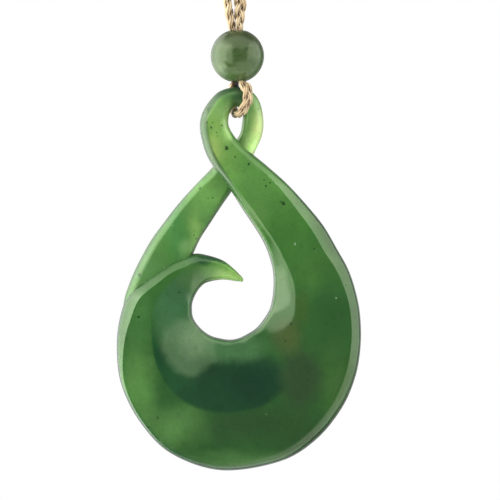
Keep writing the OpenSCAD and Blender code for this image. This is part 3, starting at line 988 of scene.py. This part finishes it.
def jade(mesh):
    """The pendant's polished, cloudy, translucent stone."""
    material, nodes = new_material("jade")
    thick = nodes.math("DIVIDE", nodes.kept("thick"), THICKEST)
    across = nodes.kept("across")
    front = nodes.kept("front")
    back = nodes.math("SUBTRACT", 1, front)
    height = nodes.math("SUBTRACT", nodes.place_along("Z"), HINGE[2])
    noises = {name: nodes.noise(*values) for name, values in STONE_NOISES.items()}
    # The shade by thickness: deeper where thick, with a painted glow of light through the thin
    # stone
    stops = [(at / THICKEST, albedo(shade)) for at, shade in THICKNESS_SHADES_AND_GLOW]
    base = nodes.ramp(thick, stops, "LINEAR")
    base = clouded(nodes, base, across, front, back)
    base = rimmed(nodes, base, across, thick, height, front, back)
    for name, begins, full, strength, tint in STONE_TINTS:
        share = nodes.span(noises[name], begins, full, to_high=strength)
        base = nodes.mix(share, base, tint, "MULTIPLY")
    base = flecked(nodes, base, mesh)
    polish = nodes.span(noises["fine"], *POLISH)
    dull_top = nodes.span(height, *DULL_HEIGHT)
    dull = nodes.math("MAXIMUM", dull_top, nodes.times(back, DULL_BACK))
    nodes.set(
        Base_Color=base,
        Roughness=nodes.math("ADD", polish, nodes.times(dull, DULLER)),
        IOR=1.62,
        Specular_Tint=GLOSS_TINT,
        Subsurface_Weight=0.5,
        Subsurface_Radius=(0.4, 1.0, 0.3),
        Subsurface_Scale=1.2 * MM,
    )
    nodes.bump(nodes.noise(*RIPPLE_NOISE), strength=0.03, distance=0.4 * MM)
    return material


# The bead's cloudy noise (scale, detail, roughness, warp), its shades along it, and its polish,
# given as the pendant's is
BEAD_NOISE = (420, 5, 0.6, 0.8)
BEAD_SHADES = [(0.25, (54, 82, 40)), (0.5, (74, 100, 54)), (0.8, (94, 116, 74))]
BEAD_POLISH = (0.3, 0.7, 0.1, 0.26)
# Painted shade on its upper half and painted light on its lower half. Columns: how far over the
# middle the shade is full, strength, shade
BEAD_PAINTED_HALVES = [(3.5, 0.7, (70, 76, 52)), (-3.5, 0.6, (104, 132, 82))]
# Its specks: their noise, where in it they begin and are full, with their strength at both, and
# their shade
SPECK_NOISE = (1600, 3, 0.6)
SPECK_SPAN = (0.58, 0.72, 0.0, 0.5)
SPECK_SHADE = (56, 66, 48)


def bead_stone():
    """The bead's darker, greyer and nearly opaque stone."""
    material, nodes = new_material("bead_stone")
    cloud = nodes.noise(*BEAD_NOISE)
    base = nodes.ramp(cloud, [(at, albedo(shade)) for at, shade in BEAD_SHADES])
    low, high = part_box("bead")
    middle = (low.z + high.z) / 2 / MM
    height = nodes.place_along("Z")
    # Painted shade on the upper half and painted light on the lower half
    for reach, strength, shade in BEAD_PAINTED_HALVES:
        share = nodes.span(height, middle, middle + reach, to_high=strength)
        base = nodes.mix(share, base, albedo(shade))
    specks = nodes.span(nodes.noise(*SPECK_NOISE), *SPECK_SPAN)
    base = nodes.mix(specks, base, albedo(SPECK_SHADE))
    nodes.set(
        Base_Color=base,
        Roughness=nodes.span(cloud, *BEAD_POLISH),
        IOR=1.54,
        Specular_Tint=GLOSS_TINT,
        Subsurface_Weight=0.3,
        Subsurface_Radius=(0.5, 1.0, 0.4),
        Subsurface_Scale=1.0 * MM,
    )
    return material


# Each thread's shade in the light, its darker shade and the painted shade between its plies
CORD_SHADES = [(274, 251, 202), (210, 174, 120), (108, 74, 42)]
KNOT_SHADES = [(235, 205, 160), (150, 112, 70), (80, 52, 30)]
# Noises of its fibres and broad patches: scale, detail and roughness
FIBRE_NOISE = (2500, 3, 0.6)
PATCH_NOISE = (420, 3, 0.5)
# Where in their noise the patches and the fibres begin and are full, and how much of the darker
# shade they add at both
PATCH_SPAN = (0.35, 0.7, 0.0, 0.7)
FIBRE_SPAN = (0.4, 0.75, 0.0, 0.4)
# The most that a yarn's tone adds, and the step from one yarn's tone to the next
TONE_DARK = 0.4
TONE_STEP = 0.618
# How far out in the plait the painted shade between the plies begins and is full, and the painted
# black where no light reaches
PAINTED_GAP_SPAN = (0.9, 0.3)
PAINTED_BLACK_SPAN = (0.2, -0.4)
THREAD_PAINTED_BLACK = (0.004, 0.008, 0.004)


def thread(name, shades):
    """Waxed thread, with painted shade between its plies, in its grooves and where it is hidden
    from light.
    """
    material, nodes = new_material(name)
    light, dark, painted_gap = (albedo(shade) for shade in shades)
    fibre = nodes.noise(*FIBRE_NOISE)
    patch = nodes.noise(*PATCH_NOISE)
    tone = nodes.math("FRACT", nodes.times(nodes.kept("yarn_number"), TONE_STEP))
    base = nodes.mix(nodes.span(patch, *PATCH_SPAN), light, dark)
    base = nodes.mix(nodes.times(tone, TONE_DARK), base, dark)
    base = nodes.mix(nodes.span(fibre, *FIBRE_SPAN), base, dark)
    # Painted shade between the plies and in the grooves, and painted black where no light reaches
    bare = nodes.kept("yarn_bare")
    base = nodes.mix(nodes.span(bare, *PAINTED_GAP_SPAN), base, painted_gap)
    base = nodes.mix(nodes.span(bare, *PAINTED_BLACK_SPAN), base, THREAD_PAINTED_BLACK)
    nodes.set(Base_Color=base, Roughness=0.5, IOR=1.45, Sheen_Weight=0.15, Sheen_Roughness=0.5)
    nodes.bump(fibre, strength=0.3, distance=0.03 * MM)
    return material


# The camera: the height of its view, the view's middle and how far in front of it the camera is
VIEW_H = 75.0
VIEW_X = 1.89
VIEW_Z = -22.95
CAMERA_AWAY = 800.0
SENSOR_W = 36.0


def add_camera():
    """A long lens level with the middle of the photographed stretch."""
    middle = Vector((VIEW_X * MM, 0, (HINGE[2] + VIEW_Z) * MM))
    data = bpy.data.cameras.new("camera")
    data.sensor_width = SENSOR_W
    data.lens = SENSOR_W * CAMERA_AWAY / VIEW_H
    camera = bpy.data.objects.new("camera", data)
    camera.location = middle + Vector((0, -CAMERA_AWAY * MM, 0))
    camera.rotation_euler = (math.pi / 2, 0, 0)
    bpy.context.scene.collection.objects.link(camera)
    bpy.context.scene.camera = camera


# The surroundings' own brightness, and the white of all light
SURROUND = 0.12
WHITE = (1, 1, 1, 1)
# Soft lights as seen from the piece, by the parts of their direction to the right, away and up.
# Each limit is where the light begins, is full, is still full and ends. None has no limit.
ALL_ROUND = (None, None, None, None)
LEFT_SIDE = (None, None, -0.40, -0.33)
RIGHT_SIDE = (0.6, 0.76, None, None)
NOT_BEHIND = (None, None, 0.3, 0.7)
# Columns: name, brightness, limits across, limits away, limits up
SOFT_BOXES = [
    ("left", 4.4, LEFT_SIDE, (-0.45, -0.3, 0.2, 0.75), (-0.9, -0.6, 0.5, 0.88)),
    ("left_near", 4.4, LEFT_SIDE, (-0.72, -0.6, -0.45, -0.3), (-0.5, -0.25, 0.5, 0.88)),
    ("left_front", 2.2, LEFT_SIDE, (None, None, -0.72, -0.6), (-0.7, -0.4, 0.5, 0.88)),
    ("left_rim", 1.2, (None, None, -0.45, -0.2), (0.3, 0.6, 0.9, 0.99), (-0.65, -0.3, 0.6, 0.9)),
    ("right", 1.65, RIGHT_SIDE, NOT_BEHIND, (-0.6, -0.15, 0.6, 0.8)),
    ("right_mid", 0.8, RIGHT_SIDE, NOT_BEHIND, (-0.3, 0.0, 0.42, 0.62)),
    ("above", 1.5, ALL_ROUND, (None, None, -0.1, 0.3), (0.45, 0.62, None, None)),
    ("below", 1.5, (-0.45, 0.45, None, None), (None, None, 0.2, 0.6), (None, None, -0.6, -0.2)),
    ("behind", 0.3, ALL_ROUND, (0.6, 0.95, None, None), ALL_ROUND),
]
# A faint round light in front: brightness, azimuth from the viewer's side towards +X, height, and
# the radius where it is full and where it ends, in degrees
FRONT_DISC = (0.5, 23, 23, 6, 20)
# The floor: radius, sides, how far it lies below the piece, and its colours along a broad noise
FLOOR_R = 500.0
FLOOR_SIDES = 48
FLOOR_DROP = 500
FLOOR_NOISE = (8, 3)
FLOOR_COLOURS = [(0.3, (0.82, 0.82, 0.81)), (0.7, (0.86, 0.86, 0.85))]


def box_light(nodes, axes, level, limits):
    """A soft light's brightness in each direction."""
    glow = level
    for axis, (begins, full, full_end, end) in zip(axes, limits):
        if begins is not None:
            glow = nodes.times(glow, nodes.span(axis, begins, full))
        if end is not None:
            glow = nodes.times(glow, nodes.span(axis, end, full_end))
    return glow


def disc_light(nodes, way, level, azimuth, height, full, end):
    """A round light's brightness in each direction."""
    azimuth, height, full, end = (math.radians(angle) for angle in (azimuth, height, full, end))
    flat = math.cos(height)
    towards = (math.sin(azimuth) * flat, -math.cos(azimuth) * flat, math.sin(height))
    near = nodes.vector("DOT_PRODUCT", way, towards, output="Value")
    return nodes.times(nodes.span(near, math.cos(end), math.cos(full)), level)


def add_surroundings():
    """White surroundings, with soft lights all around the piece."""
    world = bpy.data.worlds.new("studio")
    nodes = NodeTree(world)
    way = nodes.add("TexCoord").outputs["Generated"]
    axes = nodes.fed("SeparateXYZ", way).outputs
    glow = SURROUND
    for _, level, *limits in SOFT_BOXES:
        glow = nodes.math("ADD", glow, box_light(nodes, axes, level, limits))
    glow = nodes.math("ADD", glow, disc_light(nodes, way, *FRONT_DISC))
    lights = nodes.fed("Background", WHITE, glow)
    seen = nodes.fed("Background", WHITE)
    by_camera = nodes.add("LightPath").outputs["Is Camera Ray"]
    mixed = nodes.fed("MixShader", by_camera, lights.outputs[0], seen.outputs[0])
    nodes.fed("OutputWorld", mixed.outputs[0])
    bpy.context.scene.world = world


def floor_paint():
    """The plain pale floor."""
    material, nodes = new_material("floor_paint")
    nodes.set(Base_Color=nodes.ramp(nodes.noise(*FLOOR_NOISE), FLOOR_COLOURS), Roughness=0.8)
    return material


def add_floor():
    """A round floor well below the piece."""
    floor_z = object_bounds()[0].z / MM - FLOOR_DROP
    rim = []
    for a in 2 * math.pi * np.arange(FLOOR_SIDES) / FLOOR_SIDES:
        rim.append([FLOOR_R * math.cos(a), FLOOR_R * math.sin(a), floor_z])
    floor = new_object("floor", rim, [tuple(range(FLOOR_SIDES))])
    floor.data.materials.append(floor_paint())


def finish_piece(piece, material, body, node):
    """Gives a piece its material, puts it on its body and hides the part it stands in for."""
    piece.data.materials.clear()
    piece.data.materials.append(material)
    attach(piece, body)
    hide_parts(node)


add_camera()
cord = plait_cord()
finish_piece(cord, thread("plait_thread", CORD_SHADES), NECKLACE, "cord")
knot = wind_knot()
finish_piece(knot, thread("knot_thread", KNOT_SHADES), NECKLACE, "knot")
bead = turn_bead()
finish_piece(bead, bead_stone(), NECKLACE, "bead")
carving = carve_pendant()
finish_piece(carving, jade(carving.data), PENDANT, "pendant")

add_surroundings()
add_floor()
scene = bpy.context.scene
scene.view_settings.view_transform = "Standard"
scene.view_settings.look = "None"
